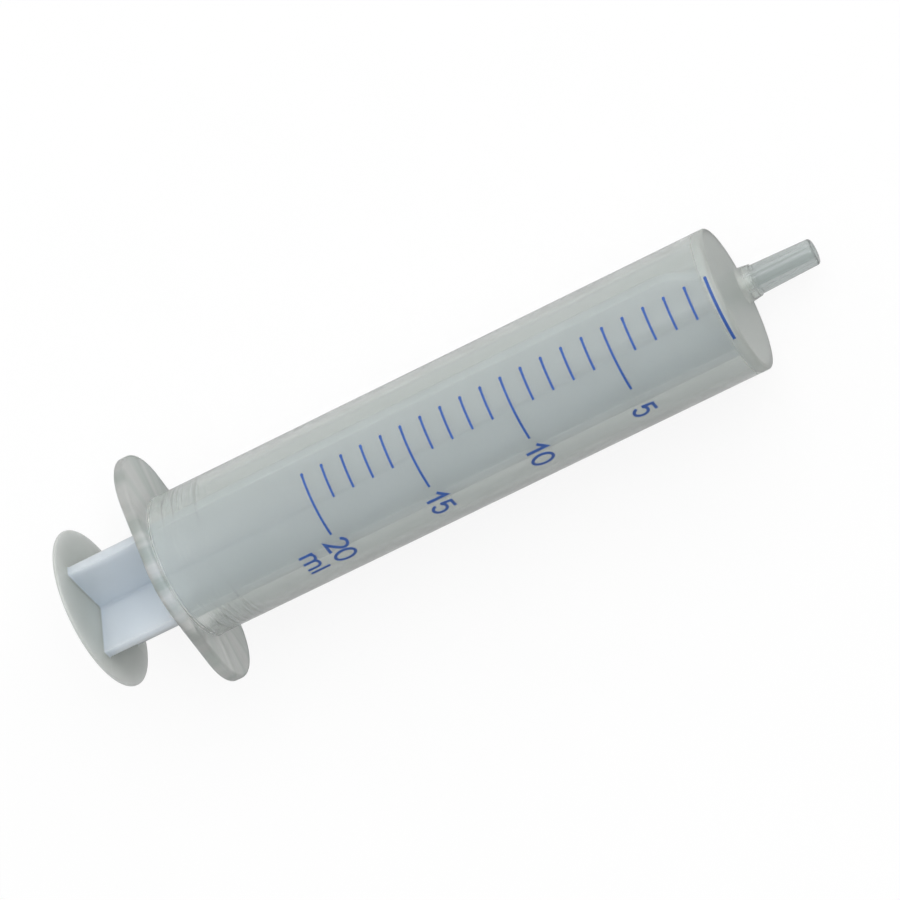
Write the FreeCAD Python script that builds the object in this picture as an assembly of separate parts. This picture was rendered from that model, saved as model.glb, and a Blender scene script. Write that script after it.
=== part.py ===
import FreeCAD, Part
import os
from math import acos, cos, pi, sin, sqrt, tan

# Two-piece 20 ml syringe with an eccentric slip nozzle, lying on its side with the scale up.
# The barrel's axis runs along X, the nozzle points to +X and is set off towards -Z.
# Each shape is first made about the barrel's own axis, with x = 0 at the zero mark,
# and is then placed so that the origin is at the bottom centre of the whole syringe.
# All lengths are in millimetres and all angles in degrees.

# Barrel tube
BORE_DIAMETER = 19.9
WALL_AT_FRONT = 0.91
WALL_AT_FLANGE = 1.18
END_WALL = 0.8
FRONT_EDGE_ROUND = 0.45
INNER_CORNER_BEVEL = 0.2
ZERO_BEHIND_END_WALL = 0.36
BARREL_LENGTH = 92.3
MOUTH_LEAD_IN = 0.5

# Finger flange
FLANGE_THICKNESS = 1.93
FLANGE_HALF_LENGTH = 18.4
FLANGE_HALF_WIDTH = 12.0
FLANGE_END_RADIUS = 8.3
FLANGE_FRONT_ROUND = 0.6
FLANGE_REAR_BEVEL = 0.3
FLANGE_ROOT_BEVEL = 0.25

# Two retention beads inside the bore, placed by their distance from the flange's rear face
BEAD_HEIGHT = 0.12
BEAD_WIDTH = 0.9
BEAD_CREST_WIDTH = 0.3
BEAD_DISTANCES = (5.2, 9.3)

# Nozzle: collar, six per cent slip taper and fluid channel
NOZZLE_OFFSET = 7.6
COLLAR_ROOT_RADIUS = 2.66
COLLAR_TIP_RADIUS = 2.45
COLLAR_LENGTH = 2.1
COLLAR_ROOT_FLARE = 0.28
COLLAR_EDGE_BEVEL = 0.13
TAPER_LENGTH = 9.35
TAPER_PER_LENGTH = 0.06
NOZZLE_TIP_DIAMETER = 3.93
NOZZLE_TIP_ROUND = 0.5
CHANNEL_DIAMETER = 1.9

# Printed scale: the strokes start on one side of the top line and run round the barrel
SCALE_ML = 20
LONG_STROKE_EVERY = 5
STROKE_WIDTH = 0.34
ZERO_STROKE_WIDTH = 0.42
STROKE_START = -33.1
LONG_STROKE_END = 17.4
SHORT_STROKE_END = -7.5
INK_THICKNESS = 0.04
INK_GAP = 0.01

# Plunger: thin piston with two sealing lips
PISTON_END_GAP = 0.06
PISTON_LENGTH = 0.96
LIP_CLEARANCE = 0.03
LIP_WIDTH = 0.2
LIP_SPACING = 0.5
FRONT_LIP_SETBACK = 0.2
GROOVE_DEPTH = 0.34
GROOVE_SLOPE = 0.08

# Plunger: rod of cross section, in which two opposite ribs neck down before the piston
ROD_CLEARANCE = 0.41
RIB_THICKNESS = 1.56
RIB_ROOT_FILLET = 0.5
NECK_RADIUS = 7.2
NECK_LENGTH = 1.3
NECK_SLOPE_LENGTH = 3.4
SHOULDER_ROUND = 6.5
NECK_ROUND = 2.0
PLUNGER_TURN = -10.8

# Plunger: thumb rest
REST_TO_FLANGE = 12.93
THUMB_REST_RADIUS = 12.58
THUMB_REST_EDGE = 0.6
THUMB_REST_MIDDLE = 1.6
THUMB_REST_BEVEL = 0.2
THUMB_REST_FLAT_RADIUS = 6.0

# Sizes that follow from the ones above
BORE_RADIUS = BORE_DIAMETER / 2
MM_PER_ML = 1000.0 / (pi * BORE_RADIUS ** 2)
END_WALL_INSIDE_X = ZERO_BEHIND_END_WALL
FRONT_X = END_WALL_INSIDE_X + END_WALL
REAR_X = FRONT_X - BARREL_LENGTH
FLANGE_FRONT_X = REAR_X + FLANGE_THICKNESS
COLLAR_TIP_X = FRONT_X + COLLAR_LENGTH
NOZZLE_TIP_X = COLLAR_TIP_X + TAPER_LENGTH
PISTON_FRONT_X = END_WALL_INSIDE_X - PISTON_END_GAP
PISTON_REAR_X = PISTON_FRONT_X - PISTON_LENGTH
LIP_RADIUS = BORE_RADIUS - LIP_CLEARANCE
ROD_RADIUS = BORE_RADIUS - ROD_CLEARANCE
REST_FRONT_X = REAR_X - REST_TO_FLANGE
REST_REAR_X = REST_FRONT_X - THUMB_REST_MIDDLE
LYING_RADIUS = max(THUMB_REST_RADIUS, FLANGE_HALF_WIDTH)
PLACE = FreeCAD.Vector(-(NOZZLE_TIP_X + REST_REAR_X) / 2, 0, LYING_RADIUS)

# Solids that are cut or fused overlap their neighbours by this much
OVERLAP = 0.5

X_AXIS = FreeCAD.Vector(1, 0, 0)
CENTRE = FreeCAD.Vector(0, 0, 0)
NOZZLE_CENTRE = FreeCAD.Vector(0, 0, -NOZZLE_OFFSET)


def outer_radius(x):
    """Outer radius of the drafted tube at a distance x from the zero mark."""
    share = (FRONT_X - x) / (FRONT_X - FLANGE_FRONT_X)
    return BORE_RADIUS + WALL_AT_FRONT + (WALL_AT_FLANGE - WALL_AT_FRONT) * share


def sharp(x, radius):
    """Corner of a profile that stays sharp."""
    return x, radius, 0, False


def rounded(x, radius, size):
    """Corner of a profile with a round of the given radius."""
    return x, radius, size, True


def bevelled(x, radius, size):
    """Corner of a profile cut off at the given distance from it."""
    return x, radius, size, False


def outline(corners):
    """Closed face in the XZ plane from the corners of a profile."""
    points = [FreeCAD.Vector(x, 0, radius) for x, radius, size, is_round in corners]
    starts = []
    ends = []
    edges = []
    for i, corner in enumerate(points):
        size, is_round = corners[i][2:]
        before = (points[i - 1] - corner).normalize()
        after = (points[(i + 1) % len(points)] - corner).normalize()
        half_angle = before.getAngle(after) / 2
        reach = size / tan(half_angle) if is_round else size
        start = corner + before * reach
        end = corner + after * reach
        if size and is_round:
            inward = (before + after).normalize()
            middle = corner + inward * (size / sin(half_angle) - size)
            edges.append(Part.Arc(start, middle, end).toShape())
        elif size:
            edges.append(Part.makeLine(start, end))
        starts.append(start)
        ends.append(end)
    for end, start in zip(ends, starts[1:] + starts[:1]):
        edges.append(Part.makeLine(end, start))
    return Part.Face(Part.Wire(Part.__sortEdges__(edges)))


def turned(corners, centre=CENTRE):
    """Solid of revolution about a line along X through a centre."""
    return outline(corners).revolve(CENTRE, X_AXIS, 360).translated(centre)


def flange_outline():
    """Wire of the oval flange: a wide arc above and below, and a round end on each side."""
    end_centre = FLANGE_HALF_LENGTH - FLANGE_END_RADIUS
    lean = acos((FLANGE_HALF_WIDTH - FLANGE_END_RADIUS) / end_centre)
    corners = []
    for side, up in ((1, 1), (-1, 1), (-1, -1), (1, -1)):
        across = side * cos(lean)
        along = up * sin(lean)
        wide = FreeCAD.Vector(REAR_X, across * FLANGE_HALF_WIDTH, along * FLANGE_HALF_WIDTH)
        narrow_y = side * end_centre + across * FLANGE_END_RADIUS
        narrow = FreeCAD.Vector(REAR_X, narrow_y, along * FLANGE_END_RADIUS)
        corners.append((wide, narrow))
    (wide_a, narrow_a), (wide_b, narrow_b), (wide_c, narrow_c), (wide_d, narrow_d) = corners
    top = FreeCAD.Vector(REAR_X, 0, FLANGE_HALF_WIDTH)
    bottom = FreeCAD.Vector(REAR_X, 0, -FLANGE_HALF_WIDTH)
    right = FreeCAD.Vector(REAR_X, FLANGE_HALF_LENGTH, 0)
    left = FreeCAD.Vector(REAR_X, -FLANGE_HALF_LENGTH, 0)
    return Part.Wire([
        Part.Arc(wide_a, top, wide_b).toShape(),
        Part.makeLine(wide_b, narrow_b),
        Part.Arc(narrow_b, left, narrow_c).toShape(),
        Part.makeLine(narrow_c, wide_c),
        Part.Arc(wide_c, bottom, wide_d).toShape(),
        Part.makeLine(wide_d, narrow_d),
        Part.Arc(narrow_d, right, narrow_a).toShape(),
        Part.makeLine(narrow_a, wide_a),
    ])


def flange():
    """Oval finger flange with a rounded front edge and a bevelled rear edge."""
    plate = Part.Face(flange_outline()).extrude(X_AXIS * FLANGE_THICKNESS)
    front = [e for e in plate.Edges if abs(e.BoundBox.XMin - FLANGE_FRONT_X) < 1e-6]
    plate = plate.makeFillet(FLANGE_FRONT_ROUND, front)
    rear = [e for e in plate.Edges if abs(e.BoundBox.XMax - REAR_X) < 1e-6]
    return plate.makeChamfer(FLANGE_REAR_BEVEL, rear)


def tube():
    """Outside of the barrel, solid, with the small flare where it leaves the flange."""
    flare_x = FLANGE_FRONT_X + FLANGE_ROOT_BEVEL
    return turned([
        sharp(REAR_X, 0),
        sharp(REAR_X, outer_radius(REAR_X)),
        sharp(FLANGE_FRONT_X, outer_radius(FLANGE_FRONT_X) + FLANGE_ROOT_BEVEL),
        sharp(flare_x, outer_radius(flare_x)),
        rounded(FRONT_X, outer_radius(FRONT_X), FRONT_EDGE_ROUND),
        sharp(FRONT_X, 0),
    ])


def nozzle():
    """Stepped collar and slip taper, solid, about the nozzle's own axis."""
    tip_radius = NOZZLE_TIP_DIAMETER / 2
    taper_root = tip_radius + TAPER_LENGTH * TAPER_PER_LENGTH / 2
    return turned([
        sharp(FRONT_X - OVERLAP, 0),
        sharp(FRONT_X - OVERLAP, COLLAR_ROOT_RADIUS + COLLAR_ROOT_FLARE),
        sharp(FRONT_X, COLLAR_ROOT_RADIUS + COLLAR_ROOT_FLARE),
        sharp(FRONT_X + COLLAR_ROOT_FLARE / 3, COLLAR_ROOT_RADIUS + COLLAR_ROOT_FLARE / 3),
        sharp(FRONT_X + COLLAR_ROOT_FLARE, COLLAR_ROOT_RADIUS),
        bevelled(COLLAR_TIP_X, COLLAR_TIP_RADIUS, COLLAR_EDGE_BEVEL),
        sharp(COLLAR_TIP_X, taper_root),
        rounded(NOZZLE_TIP_X, tip_radius, NOZZLE_TIP_ROUND),
        sharp(NOZZLE_TIP_X, 0),
    ], NOZZLE_CENTRE)


def chamber():
    """Space inside the barrel: the bore with its end corner, and the lead-in at its mouth."""
    return turned([
        sharp(REAR_X - OVERLAP, 0),
        sharp(REAR_X - OVERLAP, BORE_RADIUS + MOUTH_LEAD_IN + OVERLAP),
        sharp(REAR_X + MOUTH_LEAD_IN, BORE_RADIUS),
        bevelled(END_WALL_INSIDE_X, BORE_RADIUS, INNER_CORNER_BEVEL),
        sharp(END_WALL_INSIDE_X, 0),
    ])


def retention_bead(distance):
    """Shallow ring with sloping sides that stands inside the bore."""
    x = REAR_X + distance
    root_radius = BORE_RADIUS + WALL_AT_FRONT / 2
    return turned([
        sharp(x - BEAD_WIDTH / 2, root_radius),
        sharp(x - BEAD_WIDTH / 2, BORE_RADIUS),
        sharp(x - BEAD_CREST_WIDTH / 2, BORE_RADIUS - BEAD_HEIGHT),
        sharp(x + BEAD_CREST_WIDTH / 2, BORE_RADIUS - BEAD_HEIGHT),
        sharp(x + BEAD_WIDTH / 2, BORE_RADIUS),
        sharp(x + BEAD_WIDTH / 2, root_radius),
    ])


def channel():
    """Fluid channel through the end wall and the whole nozzle."""
    start = FreeCAD.Vector(END_WALL_INSIDE_X - OVERLAP, 0, -NOZZLE_OFFSET)
    length = NOZZLE_TIP_X - END_WALL_INSIDE_X + 2 * OVERLAP
    return Part.makeCylinder(CHANNEL_DIAMETER / 2, length, start, X_AXIS)


def barrel():
    """The clear barrel moulding."""
    outside = tube().fuse([flange(), nozzle()])
    hollow = outside.cut(chamber())
    beaded = hollow.fuse([retention_bead(distance) for distance in BEAD_DISTANCES])
    return beaded.cut(channel()).removeSplitter()


def stroke(millilitres):
    """One printed stroke of the scale, a thin curved strip on the barrel."""
    x = -millilitres * MM_PER_ML
    is_long = millilitres % LONG_STROKE_EVERY == 0
    end = LONG_STROKE_END if is_long else SHORT_STROKE_END
    width = STROKE_WIDTH if millilitres else ZERO_STROKE_WIDTH
    rear_x = x - width / 2
    front_x = x + width / 2
    rear_radius = outer_radius(rear_x) + INK_GAP
    front_radius = outer_radius(front_x) + INK_GAP
    section = outline([
        sharp(rear_x, rear_radius),
        sharp(front_x, front_radius),
        sharp(front_x, front_radius + INK_THICKNESS),
        sharp(rear_x, rear_radius + INK_THICKNESS),
    ])
    section.rotate(CENTRE, X_AXIS, STROKE_START)
    return section.revolve(CENTRE, X_AXIS, end - STROKE_START)


def graduation_marks():
    """All strokes of the scale, one for each millilitre."""
    return Part.makeCompound([stroke(millilitres) for millilitres in range(SCALE_ML + 1)])


def piston():
    """Disc with two sealing lips and the groove between them."""
    groove_radius = LIP_RADIUS - GROOVE_DEPTH
    front_lip_front = PISTON_FRONT_X - FRONT_LIP_SETBACK
    front_lip_rear = front_lip_front - LIP_WIDTH
    rear_lip_front = front_lip_front - LIP_SPACING
    rear_lip_rear = rear_lip_front - LIP_WIDTH
    return turned([
        sharp(PISTON_REAR_X, 0),
        sharp(PISTON_REAR_X, groove_radius),
        sharp(rear_lip_rear, LIP_RADIUS),
        sharp(rear_lip_front, LIP_RADIUS),
        sharp(rear_lip_front + GROOVE_SLOPE, groove_radius),
        sharp(front_lip_rear - GROOVE_SLOPE, groove_radius),
        sharp(front_lip_rear, LIP_RADIUS),
        sharp(front_lip_front, LIP_RADIUS),
        sharp(PISTON_FRONT_X, groove_radius),
        sharp(PISTON_FRONT_X, 0),
    ])


def cross_section():
    """Face of the rod's cross, with a fillet in each of its four inner corners."""
    half = RIB_THICKNESS / 2
    reach = ROD_RADIUS + OVERLAP
    root = half + RIB_ROOT_FILLET
    bow = half + RIB_ROOT_FILLET * (1 - sqrt(0.5))
    start_x = REST_FRONT_X - OVERLAP
    edges = []
    for quarter in range(4):
        turn = FreeCAD.Rotation(X_AXIS, 90 * quarter)

        def at(y, z):
            return turn.multVec(FreeCAD.Vector(0, y, z)) + X_AXIS * start_x

        edges.append(Part.makeLine(at(reach, -half), at(reach, half)))
        edges.append(Part.makeLine(at(reach, half), at(root, half)))
        edges.append(Part.Arc(at(root, half), at(bow, bow), at(half, root)).toShape())
        edges.append(Part.makeLine(at(half, root), at(half, reach)))
    return Part.Face(Part.Wire(Part.__sortEdges__(edges)))


def rod():
    """Four ribs: two opposite ones run straight up to the piston, the other two neck down before it."""
    neck_x = PISTON_REAR_X - NECK_LENGTH
    shoulder_x = neck_x - NECK_SLOPE_LENGTH
    start_x = REST_FRONT_X - 2 * OVERLAP
    end_x = PISTON_REAR_X + OVERLAP
    cross = cross_section().extrude(X_AXIS * (end_x - REST_FRONT_X + OVERLAP))
    envelope = turned([
        sharp(start_x, 0),
        sharp(start_x, ROD_RADIUS),
        rounded(shoulder_x, ROD_RADIUS, SHOULDER_ROUND),
        rounded(neck_x, NECK_RADIUS, NECK_ROUND),
        sharp(end_x + OVERLAP, NECK_RADIUS),
        sharp(end_x + OVERLAP, 0),
    ])
    straight_start = FreeCAD.Vector(REST_FRONT_X, -RIB_THICKNESS / 2, -ROD_RADIUS)
    straight = Part.makeBox(end_x - REST_FRONT_X, RIB_THICKNESS, 2 * ROD_RADIUS, straight_start)
    round_bar = Part.makeCylinder(ROD_RADIUS, end_x - start_x, FreeCAD.Vector(start_x, 0, 0), X_AXIS)
    ribs = cross.common(envelope).fuse(straight.common(round_bar))
    ribs.rotate(CENTRE, X_AXIS, 45 + PLUNGER_TURN)
    return ribs


def thumb_rest():
    """Round rest with a flat front, a thin bevelled edge and a low cone with a flat behind."""
    return turned([
        sharp(REST_FRONT_X, 0),
        bevelled(REST_FRONT_X, THUMB_REST_RADIUS, THUMB_REST_BEVEL),
        bevelled(REST_FRONT_X - THUMB_REST_EDGE, THUMB_REST_RADIUS, THUMB_REST_BEVEL),
        sharp(REST_REAR_X, THUMB_REST_FLAT_RADIUS),
        sharp(REST_REAR_X, 0),
    ])


def plunger():
    """The translucent plunger moulding."""
    return thumb_rest().fuse([rod(), piston()]).removeSplitter()


os.makedirs("parts", exist_ok=True)
for name, shape in (
    ("barrel", barrel()),
    ("graduation_marks", graduation_marks()),
    ("plunger", plunger()),
):
    placed = shape.translated(PLACE)
    placed.exportStep("parts/" + name + ".step")
    print(name, placed.isValid(), len(placed.Solids), round(placed.Volume, 1), placed.BoundBox)
print("mm per ml", round(MM_PER_ML, 4), "place", PLACE)
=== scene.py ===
from math import acos, atan2, cos, pi, radians, sin, sqrt

import bmesh
import bpy
from mathutils import Euler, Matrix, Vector


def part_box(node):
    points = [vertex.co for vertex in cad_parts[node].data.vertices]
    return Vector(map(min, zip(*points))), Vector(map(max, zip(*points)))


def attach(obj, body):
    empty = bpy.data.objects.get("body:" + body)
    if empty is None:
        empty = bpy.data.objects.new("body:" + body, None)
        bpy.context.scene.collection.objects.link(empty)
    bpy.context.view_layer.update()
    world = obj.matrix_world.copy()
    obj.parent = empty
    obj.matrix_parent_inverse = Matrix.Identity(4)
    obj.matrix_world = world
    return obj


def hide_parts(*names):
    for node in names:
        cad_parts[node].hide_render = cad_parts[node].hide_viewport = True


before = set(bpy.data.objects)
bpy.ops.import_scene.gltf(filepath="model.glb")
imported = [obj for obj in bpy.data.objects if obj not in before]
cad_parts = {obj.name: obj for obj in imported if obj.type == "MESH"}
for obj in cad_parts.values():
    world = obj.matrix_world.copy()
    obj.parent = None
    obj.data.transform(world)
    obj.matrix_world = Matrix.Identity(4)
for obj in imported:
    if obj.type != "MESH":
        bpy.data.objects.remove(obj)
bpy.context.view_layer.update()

# The clear syringe lies with its scale up. Lengths are in millimetres along and around the
# barrel's axis, with x = 0 at the zero mark, and place() turns them into metres of the frame.
MM = 0.001
TIP_X = 12.61
AXIS_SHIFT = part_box("barrel")[1][0] / MM - TIP_X
AXIS_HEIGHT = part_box("plunger")[1][2] / MM / 2
AROUND = 288
SHARP_FROM = radians(35)

# Barrel
BORE_R = 9.95
BORE_ROUND = 0.2
MOUTH_ROUND = 0.5
FRONT_X = 1.16
FRONT_ROUND = 0.45
FRONT_BAND = 1
END_WALL_X = 0.36
REAR_X = -91.14
FLANGE_X = -89.21
R_FRONT = 10.86
R_FLANGE = 11.13

# Retention beads in the bore, by their distances from the rear
BEADS = (9.3, 5.2)
BEAD_HALF = 0.5
BEAD_HEIGHT = 0.05

# Nozzle: hollow curve at its foot, collar, cone and channel
NOZZLE_Z = -7.6
FOOT_R = 2.66
FOOT_ROUND = 0.28
FOOT_ROUND_LOST = 0.15
COLLAR_X = 3.26
COLLAR_R = 2.45
COLLAR_ROUND = 0.15
CONE_STEP = 0.04
CONE_STEP_R = 2.29
CONE_R = 2.244
TIP_R = 1.98
TIP_ROUND = 0.5
CHANNEL_R = 0.95
CHANNEL_ROUND = 0.15

# Oval flange
WIDE_R = 12.0
END_R = 8.3
END_Y = 10.1
LEAN = acos((WIDE_R - END_R) / END_Y)
FLANGE_FOOT = 0.25
FLANGE_REAR_ROUND = 0.4
FLANGE_FRONT_ROUND = 0.6

# Plunger's rod
TURN = radians(34.2)
ROD_R = 9.54
RIB_HALF = 0.78
RIB_EDGE = 0.16
RIB_ROOT = 0.5
NECK = (
    (-7.6, 9.54), (-6.9, 9.50), (-6.2, 9.42), (-5.5, 9.28), (-4.85, 9.05), (-4.2, 8.72),
    (-3.6, 8.32), (-3.0, 7.91), (-2.5, 7.59), (-2.1, 7.37), (-1.7, 7.24), (-1.2, 7.2), (-0.9, 7.2),
)

# Thumb rest
REST_X = -104.07
REST_R = 12.58
REST_THICK = 1.6
REST_FLAT_R = 5.0
REST_DOME = 1.0
REST_EDGE = 0.27
REST_EDGE_X = REST_X - 0.33
REST_FILLET = 0.3
HUB_R = 1.0

# Piston
LIP_R = BORE_R - 0.03
LIP_HALF = 0.1
LIP_FLAT = 0.06
LIP_EDGE = 0.04
REAR_LIP_X = -0.5
GROOVE_X = -0.25
GROOVE_R = 9.58
GROOVE_HALF = 0.08
PISTON_REAR_X = -0.66
PISTON_X = 0.3

# Printed scale
MM_PER_ML = 1000 / (pi * BORE_R ** 2)
LAST_ML = 20
STROKE_START = radians(-33.1)
STROKE_HEAD = ((-0.22, 0.07), (-0.12, 0.19), (0.02, 0.23), (0.2, 0.21), (0.42, 0.165))
DIGIT_STROKE = 0.46
UNIT_STROKE = 0.42
CLOSING_GAP = 0.25
SHARPEST_TURN = 0.36
INK_FOOT = 0.01
INK_TOP = 0.05
BASELINE = -1.73
DIGIT_HEIGHT = 3.1
LETTER_HEIGHT = 2.25
ARCH_HALF = 0.665
FIRST_DIGIT = 5.36
NEXT_DIGIT = 2.33
UNIT_X = -70.5
UNIT_START = 4.8

# Studio: the floor and the sky are lit as greys, but are lifted towards white for the camera and,
# by smaller shares, for rays through the plastic. The floor's shares go with millimetres across.
FLOOR_HALF = 3.0
FLOOR_GREY = 0.6
FLOOR_CLOUD = 0.01
WHITE_FOR_CAMERA = 0.8
# Painted light and shade on the floor for rays through the plastic, as (mm across the axis, share of white):
# dark under the barrel's +Y side, lighter beside its -Y side.
PAINTED_FLOOR_BANDS_FOR_GLASS = ((-30, 0.05), (-19, 0.34), (-11, 0.5), (9, 0.04), (16, 0.2))
SKY_FOR_GLASS = 0.15
SKY_LEVEL = 0.45
SKY_SLOPE = (0.0, 0.60, 0.25)
KEY_POWER = 8.0
FILL_POWER = 1.8


def place(x, y, z):
    return ((x + AXIS_SHIFT) * MM, y * MM, (z + AXIS_HEIGHT) * MM)


def new_piece(name, verts, faces, body, material):
    mesh = bpy.data.meshes.new(name)
    mesh.from_pydata([place(*v) for v in verts], [], faces)
    work = bmesh.new()
    work.from_mesh(mesh)
    bmesh.ops.recalc_face_normals(work, faces=work.faces)
    work.to_mesh(mesh)
    work.free()
    mesh.shade_smooth()
    mesh.set_sharp_from_angle(angle=SHARP_FROM)
    mesh.materials.append(material)
    piece = bpy.data.objects.new(name, mesh)
    bpy.context.scene.collection.objects.link(piece)
    normals = piece.modifiers.new("normals", "WEIGHTED_NORMAL")
    normals.keep_sharp = True
    normals.weight = 100
    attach(piece, body)
    return piece


def skin(rings, closed):
    """Quads between rings of equally many points; open ends are closed by a fan."""
    count = len(rings[0])
    verts = [p for ring in rings for p in ring]
    faces = []
    spans = [(i, i + 1) for i in range(len(rings) - 1)]
    if closed:
        spans.append((len(rings) - 1, 0))
    for a, b in spans:
        for i in range(count):
            j = (i + 1) % count
            faces.append((a * count + i, b * count + i, b * count + j, a * count + j))
    if not closed:
        for ring in (0, len(rings) - 1):
            centre = len(verts)
            verts.append((rings[ring][0][0], 0, 0))
            for i in range(count):
                faces.append((centre, ring * count + i, ring * count + (i + 1) % count))
    return verts, faces


def quarter(steps):
    """Angles over a quarter turn."""
    return [pi / 2 * i / steps for i in range(steps + 1)]


def turn(steps):
    """Angles once round, without the last one, which is the first again."""
    return [2 * pi * i / steps for i in range(steps)]


def arc(cx, cr, radius, start, end, steps):
    """Points (x, r) on an arc, angles in degrees from +x towards +r."""
    angles = [radians(start + (end - start) * i / steps) for i in range(steps + 1)]
    return [(cx + radius * cos(a), cr + radius * sin(a)) for a in angles]


def circle(x, r, z=0.0):
    return [(x, r * cos(a), z + r * sin(a)) for a in turn(AROUND)]


def rounded(cx, cr, radius, start, end, steps, z=0.0):
    """Circles that follow an arc of a turned outline."""
    return [circle(x, r, z) for x, r in arc(cx, cr, radius, start, end, steps)]


def outer(x):
    return R_FRONT + (R_FLANGE - R_FRONT) * (FRONT_X - x) / (FRONT_X - FLANGE_X)


def flange_reach(angle, inset):
    """Distance from the axis to the flange's outline, drawn in by an inset."""
    across = abs(cos(angle))
    up = abs(sin(angle))
    fold = atan2(up, across)
    end = END_R - inset
    if fold >= LEAN:
        return WIDE_R - inset
    if fold <= atan2(end * sin(LEAN), END_Y + end * cos(LEAN)):
        return END_Y * across + sqrt(end ** 2 - (END_Y * up) ** 2)
    return (WIDE_R - inset) / cos(fold - LEAN)


def flange_ring(x, inset):
    ring = []
    for angle in turn(AROUND):
        reach = flange_reach(angle, inset)
        ring.append((x, reach * cos(angle), reach * sin(angle)))
    return ring


def foot_ring(rise, share):
    """Ring of the hollow curve at the nozzle's foot, which is smaller towards the barrel's edge."""
    ring = []
    for angle in turn(AROUND):
        room = FOOT_ROUND - FOOT_ROUND_LOST * max(0.0, -sin(angle)) ** 3
        r = FOOT_R + room * share
        ring.append((FRONT_X + rise * room, r * cos(angle), NOZZLE_Z + r * sin(angle)))
    return ring


def tube_rings():
    """Outside of the barrel from the flange to the rounded front edge."""
    rings = rounded(FLANGE_X + FLANGE_FOOT, outer(FLANGE_X) + FLANGE_FOOT, FLANGE_FOOT, 180, 270, 5)
    rings.append(circle(FRONT_X - FRONT_ROUND - FRONT_BAND, outer(FRONT_X - FRONT_BAND)))
    rings += rounded(FRONT_X - FRONT_ROUND, R_FRONT - FRONT_ROUND, FRONT_ROUND, 90, 0, 9)
    return rings


def nozzle_rings():
    """Foot, collar and cone of the nozzle, then the channel back to the end wall."""
    rings = [foot_ring(1 - cos(a), 1 - sin(a)) for a in quarter(5)]
    rings += rounded(COLLAR_X - COLLAR_ROUND, COLLAR_R - COLLAR_ROUND, COLLAR_ROUND, 85, 0, 4, NOZZLE_Z)
    rings.append(circle(COLLAR_X, CONE_STEP_R, NOZZLE_Z))
    rings.append(circle(COLLAR_X + CONE_STEP, CONE_R, NOZZLE_Z))
    rings += rounded(TIP_X - TIP_ROUND, TIP_R - TIP_ROUND, TIP_ROUND, 88, 0, 9, NOZZLE_Z)
    edge_r = CHANNEL_R + CHANNEL_ROUND
    rings += rounded(TIP_X - CHANNEL_ROUND, edge_r, CHANNEL_ROUND, 0, -90, 3, NOZZLE_Z)
    rings += rounded(END_WALL_X + CHANNEL_ROUND, edge_r, CHANNEL_ROUND, 270, 180, 3, NOZZLE_Z)
    return rings


def bore_rings():
    """Bore from the end wall to its rounded mouth, with the beads near the flange."""
    rings = rounded(END_WALL_X - BORE_ROUND, BORE_R - BORE_ROUND, BORE_ROUND, 0, 90, 4)
    for distance in BEADS:
        for i in range(9):
            share = i / 4 - 1
            height = BEAD_HEIGHT / 2 * (1 + cos(pi * share))
            rings.append(circle(REAR_X + distance - BEAD_HALF * share, BORE_R - height))
    rings += rounded(REAR_X + MOUTH_ROUND, BORE_R + MOUTH_ROUND, MOUTH_ROUND, 270, 180, 5)
    return rings


def flange_rings():
    """Flange from its rear face over the rounded rim to its front face."""
    rings = []
    for a in quarter(5):
        x = REAR_X + FLANGE_REAR_ROUND * (1 - cos(a))
        rings.append(flange_ring(x, FLANGE_REAR_ROUND * (1 - sin(a))))
    for a in quarter(7):
        x = FLANGE_X - FLANGE_FRONT_ROUND + FLANGE_FRONT_ROUND * sin(a)
        rings.append(flange_ring(x, FLANGE_FRONT_ROUND * (1 - cos(a))))
    return rings


def half_rib(reach, half, edge):
    """Points (u, v) of half a rib's section, from its tip to the corner between two ribs."""
    side = half - edge
    points = [(sqrt(reach ** 2 - side ** 2 * s * s), side * s) for s in (0, 0.5)]
    u = sqrt((reach - edge) ** 2 - side ** 2)
    start = atan2(side, u)
    for i in range(5):
        a = start + (pi / 2 - start) * i / 4
        points.append((u + edge * cos(a), side + edge * sin(a)))
    root = half + RIB_ROOT
    for i in range(1, 10):
        points.append((u * (root / u) ** (i / 10), half))
    for i in range(5):
        a = radians(-90 - 45 * i / 4)
        points.append((root + RIB_ROOT * cos(a), root + RIB_ROOT * sin(a)))
    return points


def rod_ring(x, reach, next_reach=ROD_R, half=RIB_HALF):
    """Ring round the rod's cross, in which two opposite ribs may reach less far than the others."""
    side = half_rib(reach, half, RIB_EDGE)
    next_side = half_rib(next_reach, half, RIB_EDGE)
    ring = []
    for rib in range(4):
        near, far = (side, next_side) if rib % 2 == 0 else (next_side, side)
        a = TURN + pi / 2 * rib
        for u, v in near + [(v, u) for u, v in reversed(far[1:-1])]:
            ring.append((x, u * cos(a) - v * sin(a), u * sin(a) + v * cos(a)))
    return ring


def disc_ring(x, r):
    """Circle whose points lie in the same directions as those of the rod's section."""
    ring = []
    for _, y, z in rod_ring(x, ROD_R):
        reach = sqrt(y * y + z * z)
        ring.append((x, y * r / reach, z * r / reach))
    return ring


def rest_rings():
    """Thumb rest from the flat middle of its low dome, over the rim, to the fillet at the rod."""
    rear = REST_X - REST_THICK
    rim_r = REST_R - REST_EDGE
    rings = [disc_ring(rear, HUB_R), disc_ring(rear, REST_FLAT_R)]
    for i in range(1, 9):
        s = i / 8
        rings.append(disc_ring(rear + REST_DOME * s * s, REST_FLAT_R + (rim_r - REST_FLAT_R) * s))
    rings += [disc_ring(x, r) for x, r in arc(REST_EDGE_X, rim_r, REST_EDGE, 172, 0, 8)]
    for a in quarter(3):
        grow = REST_FILLET * (1 - sin(a))
        x = REST_X + REST_FILLET * (1 - cos(a))
        rings.append(rod_ring(x, ROD_R + grow, ROD_R + grow, RIB_HALF + grow))
    return rings


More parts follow.
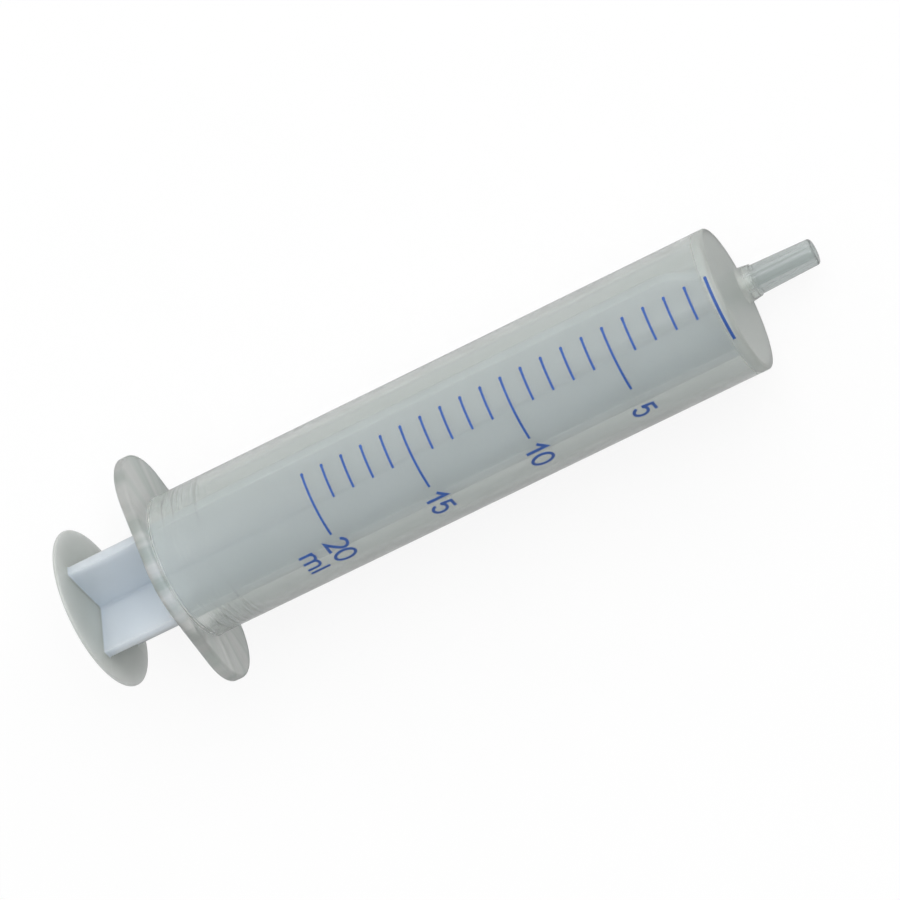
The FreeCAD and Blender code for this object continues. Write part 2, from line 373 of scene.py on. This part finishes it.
def lip(middle):
    """Points (x, r) over one sealing lip."""
    low = LIP_R - LIP_EDGE
    return [
        (middle - LIP_HALF, low), (middle - LIP_FLAT, LIP_R),
        (middle + LIP_FLAT, LIP_R), (middle + LIP_HALF, low),
    ]


def piston_rings():
    """Fillet from the ribs to the piston, its two lips with the groove between, and its face."""
    shoulder = GROOVE_R + 0.03
    profile = [(PISTON_REAR_X, ROD_R), (PISTON_REAR_X + 0.02, 9.6)]
    profile += lip(REAR_LIP_X)
    profile += [(GROOVE_X - GROOVE_HALF, shoulder), (GROOVE_X, GROOVE_R), (GROOVE_X + GROOVE_HALF, shoulder)]
    profile += lip(0)
    profile += [(PISTON_X - 0.02, shoulder), (PISTON_X, 9.5), (PISTON_X, 9.2), (PISTON_X, HUB_R)]
    rings = [rod_ring(-0.72, 7.3, ROD_R, RIB_HALF + 0.1)]
    rings.append(rod_ring(PISTON_REAR_X, 7.5, ROD_R, RIB_HALF + 0.3))
    rings += [disc_ring(x, r) for x, r in profile]
    return rings


def wrap(x, around, lift):
    """Point above the barrel's outside at a length round it from the top line, towards -Y."""
    angle = around / outer(x)
    r = outer(x) + lift
    return x, -r * sin(angle), r * cos(angle)


def ellipse(cx, cy, rx, ry, start, end, steps=16):
    angles = [radians(start + (end - start) * i / steps) for i in range(steps + 1)]
    return [(cx + rx * cos(a), cy + ry * sin(a)) for a in angles]


def stem(x, height, steps=4):
    """Upright pen stroke from the base line."""
    return [(x, height * i / steps) for i in range(steps + 1)]


def bend(a, b, c, steps=5):
    """Points after a on a smooth bend to c, which leaves and arrives in line with b."""
    points = []
    for i in range(1, steps + 1):
        t = i / steps
        points.append([(1 - t) ** 2 * p + 2 * t * (1 - t) * q + t * t * r for p, q, r in zip(a, b, c)])
    return points


def digit(sign):
    """Pen strokes of a digit about its middle, as (across, up) points."""
    top = DIGIT_HEIGHT
    if sign == "0":
        return [ellipse(0, top / 2, 1.0, top / 2, 0, 352.5, 47)]
    if sign == "1":
        return [[(-0.68, top - 1.02), (0.3, top), (0.3, 0)]]
    if sign == "2":
        bowl = ellipse(0, 2.25, 0.85, 0.85, 168, -35)
        return [bowl + bend((0.70, 1.76), (0.3, 1.19), (-0.88, 0)) + [(0.88, 0)]]
    return [[(0.8, top), (-0.62, top), (-0.82, 1.48)], ellipse(0, 1.03, 0.88, 1.03, 152, -158, 24)]


def unit():
    """Pen strokes of the letters ml from the first stem on."""
    strokes = [stem(0, LETTER_HEIGHT)]
    for x in (0, 2 * ARCH_HALF):
        arch = ellipse(x + ARCH_HALF, 1.5, ARCH_HALF, 0.72, 172, 0, 14)
        foot = x + 2 * ARCH_HALF
        strokes.append(arch + [(foot, 0.8), (foot, 0)])
    strokes.append(stem(3.55, DIGIT_HEIGHT))
    return strokes


def is_closed(stroke):
    """Whether a stroke comes back to where it starts, like that of a nought."""
    across = stroke[0][0] - stroke[-1][0]
    up = stroke[0][1] - stroke[-1][1]
    return sqrt(across ** 2 + up ** 2) < CLOSING_GAP


def inked(strokes):
    """Thin solid ribbons laid round the barrel along pen strokes of (x, around, half width)."""
    verts = []
    faces = []
    for stroke in strokes:
        closed = is_closed(stroke)
        first = len(verts)
        count = len(stroke)
        for i, (x, around, half) in enumerate(stroke):
            before = stroke[i - 1] if i or closed else None
            after = stroke[(i + 1) % count] if i < count - 1 or closed else None
            into = Vector((x - before[0], around - before[1])).normalized() if before else None
            out = Vector((after[0] - x, after[1] - around)).normalized() if after else into
            into = into or out
            mean = (into + out).normalized()
            reach = half / max(SHARPEST_TURN, mean.dot(out))
            for side, lift in ((1, INK_FOOT), (-1, INK_FOOT), (-1, INK_TOP), (1, INK_TOP)):
                verts.append(wrap(x - mean.y * reach * side, around + mean.x * reach * side, lift))
        spans = [(i, i + 1) for i in range(count - 1)]
        if closed:
            spans.append((count - 1, 0))
        else:
            faces.append(tuple(first + k for k in range(4)))
            faces.append(tuple(first + 4 * (count - 1) + k for k in range(4)))
        for i, j in spans:
            for k in range(4):
                m = (k + 1) % 4
                faces.append((first + 4 * i + k, first + 4 * i + m, first + 4 * j + m, first + 4 * j + k))
    return verts, faces


def laid(stroke, x, around, width):
    """Pen stroke of (across, up) points put on the barrel, on which up is along the axis."""
    return [(x + up, around + across, width / 2) for across, up in stroke]


def numerals():
    """Pen strokes of the numbers 5 to 20 and of the unit."""
    strokes = []
    for value in range(5, LAST_ML + 1, 5):
        foot = -value * MM_PER_ML + BASELINE
        for column, sign in enumerate(str(value).rjust(2)):
            if sign != " ":
                middle = FIRST_DIGIT + NEXT_DIGIT * column
                strokes += [laid(stroke, foot, middle, DIGIT_STROKE) for stroke in digit(sign)]
    strokes += [laid(stroke, UNIT_X, UNIT_START, UNIT_STROKE) for stroke in unit()]
    return strokes


def stroke_heads():
    """Small beads of ink where each stroke of the scale starts."""
    strokes = []
    for value in range(LAST_ML + 1):
        x = -value * MM_PER_ML
        start = STROKE_START * outer(x)
        strokes.append([(x, start + at, half) for at, half in STROKE_HEAD])
    return strokes


def material(name):
    made = bpy.data.materials.new(name)
    made.use_nodes = True
    return made, made.node_tree, made.node_tree.nodes["Principled BSDF"]


def settings(shader, **values):
    for key, value in values.items():
        shader.inputs[key.replace("_", " ")].default_value = value


def feed(tree, socket, value):
    """Give a socket what another node puts out, or a plain value."""
    if isinstance(value, bpy.types.NodeSocket):
        tree.links.new(value, socket)
    else:
        socket.default_value = value


def opaque(value):
    """Colour of four parts from one of three parts or from a grey level."""
    return (*value, 1) if isinstance(value, tuple) else (value, value, value, 1)


def maths(tree, operation, *values):
    """Outcome of a sum or a product of plain values and of what other nodes put out."""
    node = tree.nodes.new("ShaderNodeMath")
    node.operation = operation
    for socket, value in zip(node.inputs, values):
        feed(tree, socket, value)
    return node.outputs["Value"]


def noise(tree, vector, scale, detail):
    """Noise over a vector in metres of the frame."""
    pattern = tree.nodes.new("ShaderNodeTexNoise")
    pattern.inputs["Scale"].default_value = scale
    pattern.inputs["Detail"].default_value = detail
    tree.links.new(vector, pattern.inputs["Vector"])
    return pattern.outputs["Fac"]


def grain(tree, scale, stretch=(1, 1, 1)):
    """Noise that is drawn out along an axis by a stretch below 1."""
    place_of = tree.nodes.new("ShaderNodeTexCoord")
    spread = tree.nodes.new("ShaderNodeMapping")
    spread.inputs["Scale"].default_value = stretch
    tree.links.new(place_of.outputs["Object"], spread.inputs["Vector"])
    return noise(tree, spread.outputs["Vector"], scale, 3.0)


def streaks(tree, scale):
    """Noise that changes only with the direction from the axis, so that it runs out in rays."""
    place_of = tree.nodes.new("ShaderNodeTexCoord")
    centre = tree.nodes.new("ShaderNodeMapping")
    centre.inputs["Location"].default_value = (0, 0, -AXIS_HEIGHT * MM)
    flat = tree.nodes.new("ShaderNodeVectorMath")
    flat.operation = "MULTIPLY"
    flat.inputs[1].default_value = (0, 1, 1)
    ray = tree.nodes.new("ShaderNodeVectorMath")
    ray.operation = "NORMALIZE"
    tree.links.new(place_of.outputs["Object"], centre.inputs["Vector"])
    tree.links.new(centre.outputs["Vector"], flat.inputs[0])
    tree.links.new(flat.outputs["Vector"], ray.inputs[0])
    return noise(tree, ray.outputs["Vector"], scale, 2.0)


def ramp(tree, source, low, high, start=0.3, end=0.7):
    """Colours or values between two ends, driven by a source."""
    steps = tree.nodes.new("ShaderNodeValToRGB")
    for stop, position, value in zip(steps.color_ramp.elements, (start, end), (low, high)):
        stop.position = position
        stop.color = opaque(value)
    tree.links.new(source, steps.inputs["Fac"])
    return steps.outputs["Color"]


def relief(tree, source, depth, shader):
    """Fine height pattern on the shader's normal, in millimetres, on top of what is there already."""
    bump = tree.nodes.new("ShaderNodeBump")
    bump.inputs["Distance"].default_value = depth * MM
    tree.links.new(source, bump.inputs["Height"])
    for link in list(shader.inputs["Normal"].links):
        tree.links.new(link.from_socket, bump.inputs["Normal"])
    tree.links.new(bump.outputs["Normal"], shader.inputs["Normal"])


def share_between(tree, axis, start, end, kind="LINEAR"):
    """Share that rises from 0 to 1 between two places on an axis, in metres of the frame."""
    place_of = tree.nodes.new("ShaderNodeTexCoord")
    split = tree.nodes.new("ShaderNodeSeparateXYZ")
    share = tree.nodes.new("ShaderNodeMapRange")
    share.interpolation_type = kind
    share.inputs["From Min"].default_value = start
    share.inputs["From Max"].default_value = end
    tree.links.new(place_of.outputs["Object"], split.inputs["Vector"])
    tree.links.new(split.outputs[axis], share.inputs["Value"])
    return share.outputs["Result"]


def along(tree, start, end):
    """Share that rises softly from 0 to 1 between two places on the barrel's axis."""
    return share_between(tree, "X", place(start, 0, 0)[0], place(end, 0, 0)[0], "SMOOTHSTEP")


def mixed(tree, share, first, second):
    """Colour or value that goes from the first to the second with a share."""
    blend = tree.nodes.new("ShaderNodeMix")
    blend.data_type = "RGBA"
    tree.links.new(share, blend.inputs["Factor"])
    for socket, value in ((blend.inputs[6], first), (blend.inputs[7], second)):
        feed(tree, socket, value if isinstance(value, bpy.types.NodeSocket) else opaque(value))
    return blend.outputs[2]


def blended(tree, share, first, second):
    """Shader that goes from the first to the second with a share."""
    blend = tree.nodes.new("ShaderNodeMixShader")
    tree.links.new(share, blend.inputs["Fac"])
    tree.links.new(first, blend.inputs[1])
    tree.links.new(second, blend.inputs[2])
    return blend.outputs["Shader"]


def clear_plastic():
    """Hazy clear moulding with a rougher front and flange and a bluish, clearer nozzle."""
    made, tree, shader = material("clear_plastic")
    settings(shader, IOR=1.49, Transmission_Weight=0.80)
    in_flange = along(tree, FLANGE_X + 0.4, FLANGE_X - 0.2)
    in_front = along(tree, FRONT_X - 2.4, FRONT_X - 1.2)
    in_nozzle = along(tree, FRONT_X + 0.1, FRONT_X + 2.5)
    behind_nozzle = along(tree, FRONT_X + 2.5, FRONT_X)
    cloud = grain(tree, 260, (0.3, 1, 1))
    radial_streaks = streaks(tree, 5.0)

    wall = ramp(tree, cloud, (0.875, 0.915, 0.89), (0.90, 0.935, 0.915))
    # Flange tone: lighter and darker streaks that run out from the axis, also laid on the flange as relief.
    plate = ramp(tree, radial_streaks, (0.68, 0.74, 0.70), (1.0, 1.0, 0.98), 0.40, 0.60)
    colour = mixed(tree, in_flange, wall, plate)
    colour = mixed(tree, in_front, colour, (0.93, 0.965, 0.925))
    colour = mixed(tree, in_nozzle, colour, (0.71, 0.76, 0.75))
    tree.links.new(colour, shader.inputs["Base Color"])

    haze = ramp(tree, cloud, 0.13, 0.18)
    haze = mixed(tree, in_front, haze, 0.34)
    haze = mixed(tree, in_flange, haze, 0.34)
    haze = mixed(tree, in_nozzle, haze, 0.10)
    tree.links.new(haze, shader.inputs["Roughness"])

    waves = maths(tree, "MULTIPLY", grain(tree, 420, (0.25, 1, 1)), behind_nozzle)
    relief(tree, waves, 0.006, shader)
    relief(tree, maths(tree, "MULTIPLY", radial_streaks, in_flange), 0.3, shader)
    after_mouth = along(tree, REAR_X + 3, REAR_X + 5)
    before_beads = along(tree, REAR_X + 14, REAR_X + 9)
    near_beads = maths(tree, "MULTIPLY", after_mouth, before_beads)
    moulding_rings = maths(tree, "MULTIPLY", grain(tree, 1300, (1, 0, 0)), near_beads)
    relief(tree, moulding_rings, 0.2, shader)
    return made


def milky_plastic():
    """Translucent moulding that scatters deep inside, with painted light and shade: a lighter, bluish copy
    of its colour along the rod, as on a lit side, and a darker, warmer copy in the thumb rest, as in shade.
    """
    made, tree, shader = material("milky_plastic")
    settings(shader, IOR=1.5, Subsurface_Weight=1.0)
    settings(shader, Subsurface_Radius=(1.0, 1.0, 1.0), Subsurface_Scale=0.006)
    cloud = grain(tree, 45)
    # Painted light: the rod's lighter, bluish copy of the plastic's colour.
    rod = ramp(tree, cloud, (0.53, 0.59, 0.655), (0.57, 0.63, 0.695))
    # Painted shade: the thumb rest's darker, warmer copy of the same plastic's colour.
    rest = ramp(tree, cloud, (0.405, 0.43, 0.405), (0.425, 0.45, 0.425))
    # The fillet at the thumb rest keeps the lighter rod colour, which is painted light against the dark line
    # in that corner.
    in_shaded_rest = along(tree, REST_X + 0.25, REST_X + 0.02)
    tree.links.new(mixed(tree, in_shaded_rest, rod, rest), shader.inputs["Base Color"])
    tree.links.new(ramp(tree, grain(tree, 400), 0.28, 0.34), shader.inputs["Roughness"])
    relief(tree, grain(tree, 300, (0.3, 1, 1)), 0.004, shader)
    return made


def blue_ink():
    made, tree, shader = material("blue_ink")
    settings(shader, IOR=1.45)
    wear = grain(tree, 2600)
    colour = ramp(tree, wear, (0.022, 0.074, 0.31), (0.038, 0.120, 0.42))
    tree.links.new(colour, shader.inputs["Base Color"])
    tree.links.new(ramp(tree, wear, 0.35, 0.6), shader.inputs["Roughness"])
    relief(tree, wear, 0.008, shader)
    return made


def seen_white(tree, for_camera, for_glass):
    """Share of plain white for the rays that show a background: camera, mirror and see-through ones."""
    path = tree.nodes.new("ShaderNodeLightPath")
    glass = maths(tree, "MAXIMUM", path.outputs["Is Glossy Ray"], path.outputs["Is Transmission Ray"])
    part = maths(tree, "MULTIPLY", glass, for_glass)
    return maths(tree, "MULTIPLY_ADD", path.outputs["Is Camera Ray"], for_camera, part)


def floor_for_glass(tree):
    """Share of white across the floor for rays through the plastic, as painted bands of light and shade
    beside and under the barrel.
    """
    first = PAINTED_FLOOR_BANDS_FOR_GLASS[0][0]
    last = PAINTED_FLOOR_BANDS_FOR_GLASS[-1][0]
    steps = tree.nodes.new("ShaderNodeValToRGB")
    stops = steps.color_ramp.elements
    for i, (y, share) in enumerate(PAINTED_FLOOR_BANDS_FOR_GLASS):
        at = (y - first) / (last - first)
        stop = stops.new(at) if 0 < at < 1 else stops[-1 if i else 0]
        stop.color = opaque(share)
    tree.links.new(share_between(tree, "Y", first * MM, last * MM), steps.inputs["Fac"])
    return steps.outputs["Color"]


def white_paper():
    """Pale grey floor that is lifted to white, with a faint shadow, where the camera sees it, and that shows
    rays through the plastic painted bands of light and shade.
    """
    made, tree, shader = material("white_paper")
    settings(shader, Roughness=0.9, Specular_IOR_Level=0.1)
    cloud = ramp(tree, grain(tree, 60), FLOOR_GREY - FLOOR_CLOUD, FLOOR_GREY + FLOOR_CLOUD)
    tree.links.new(cloud, shader.inputs["Base Color"])
    glow = tree.nodes.new("ShaderNodeEmission")
    glow.inputs["Strength"].default_value = 1.0
    # Rays through the plastic see the floor's painted bands of light and shade.
    share = seen_white(tree, WHITE_FOR_CAMERA, floor_for_glass(tree))
    paper = blended(tree, share, shader.outputs["BSDF"], glow.outputs["Emission"])

    path = tree.nodes.new("ShaderNodeLightPath")
    missing = (1 - WHITE_FOR_CAMERA) * (1 - FLOOR_GREY)
    lift = tree.nodes.new("ShaderNodeEmission")
    feed(tree, lift.inputs["Strength"], maths(tree, "MULTIPLY", path.outputs["Is Camera Ray"], missing))
    whole = tree.nodes.new("ShaderNodeAddShader")
    tree.links.new(paper, whole.inputs[0])
    tree.links.new(lift.outputs["Emission"], whole.inputs[1])
    tree.links.new(whole.outputs["Shader"], tree.nodes["Material Output"].inputs["Surface"])
    return made


def new_floor():
    mesh = bpy.data.meshes.new("floor")
    corners = [(-1, -1), (1, -1), (1, 1), (-1, 1)]
    mesh.from_pydata([(FLOOR_HALF * x, FLOOR_HALF * y, 0) for x, y in corners], [], [(0, 1, 2, 3)])
    mesh.materials.append(white_paper())
    floor = bpy.data.objects.new("floor", mesh)
    bpy.context.scene.collection.objects.link(floor)
    return floor


def soft_sky():
    """Sky that is brighter on the +Y side and overhead, and an even backdrop where it is seen."""
    world = bpy.data.worlds.new("studio")
    bpy.context.scene.world = world
    world.use_nodes = True
    tree = world.node_tree
    direction = tree.nodes.new("ShaderNodeTexCoord")
    slope = tree.nodes.new("ShaderNodeVectorMath")
    slope.operation = "DOT_PRODUCT"
    slope.inputs[1].default_value = SKY_SLOPE
    tree.links.new(direction.outputs["Generated"], slope.inputs[0])
    sky = tree.nodes["Background"]
    sky.inputs["Color"].default_value = (1, 1, 1, 1)
    tree.links.new(maths(tree, "ADD", slope.outputs["Value"], SKY_LEVEL), sky.inputs["Strength"])
    backdrop = tree.nodes.new("ShaderNodeBackground")
    share = seen_white(tree, 1.0, SKY_FOR_GLASS)
    both = blended(tree, share, sky.outputs["Background"], backdrop.outputs["Background"])
    tree.links.new(both, tree.nodes["World Output"].inputs["Surface"])


def softbox(name, location, size, power):
    """Lamp that points at the frame's origin, its place and size in metres."""
    lamp = bpy.data.lights.new(name, "AREA")
    lamp.shape = "RECTANGLE"
    lamp.size, lamp.size_y = size
    lamp.energy = power
    holder = bpy.data.objects.new(name, lamp)
    holder.location = location
    holder.rotation_euler = (-Vector(location)).to_track_quat("-Z", "Y").to_euler()
    bpy.context.scene.collection.objects.link(holder)


def aim_camera():
    """Long lens in the place from which the photograph was taken."""
    lens = bpy.data.cameras.new("camera")
    lens.lens = 141.0
    lens.sensor_width = 36.0
    lens.clip_start = 0.01
    camera = bpy.data.objects.new("camera", lens)
    camera.location = (0.1339268, 0.0767946, 0.4922598)
    camera.rotation_euler = Euler((radians(-15.23042), radians(9.46555), radians(-28.42996)), "XYZ")
    scene = bpy.context.scene
    scene.collection.objects.link(camera)
    scene.camera = camera
    scene.view_settings.view_transform = "Standard"


# Syringe
clear = clear_plastic()
milky = milky_plastic()
ink = blue_ink()

verts, faces = skin(tube_rings() + nozzle_rings() + bore_rings() + flange_rings(), True)
barrel = new_piece("clear_barrel", verts, faces, "barrel", clear)
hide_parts("barrel")
neck_rings = [rod_ring(x, reach) for x, reach in NECK]
verts, faces = skin(rest_rings() + neck_rings + piston_rings(), False)
plunger = new_piece("milky_plunger", verts, faces, "plunger", milky)
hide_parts("plunger")
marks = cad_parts["graduation_marks"]
marks.data.materials.clear()
marks.data.materials.append(ink)
verts, faces = inked(numerals())
new_piece("scale_numerals", verts, faces, "barrel", ink)
verts, faces = inked(stroke_heads())
new_piece("stroke_heads", verts, faces, "barrel", ink)

# Studio
floor = new_floor()
soft_sky()
softbox("key", (0.45, 0.65, 0.9), (1.1, 1.1), KEY_POWER)
softbox("fill", (-0.25, -0.9, 0.27), (1.2, 0.5), FILL_POWER)
aim_camera()
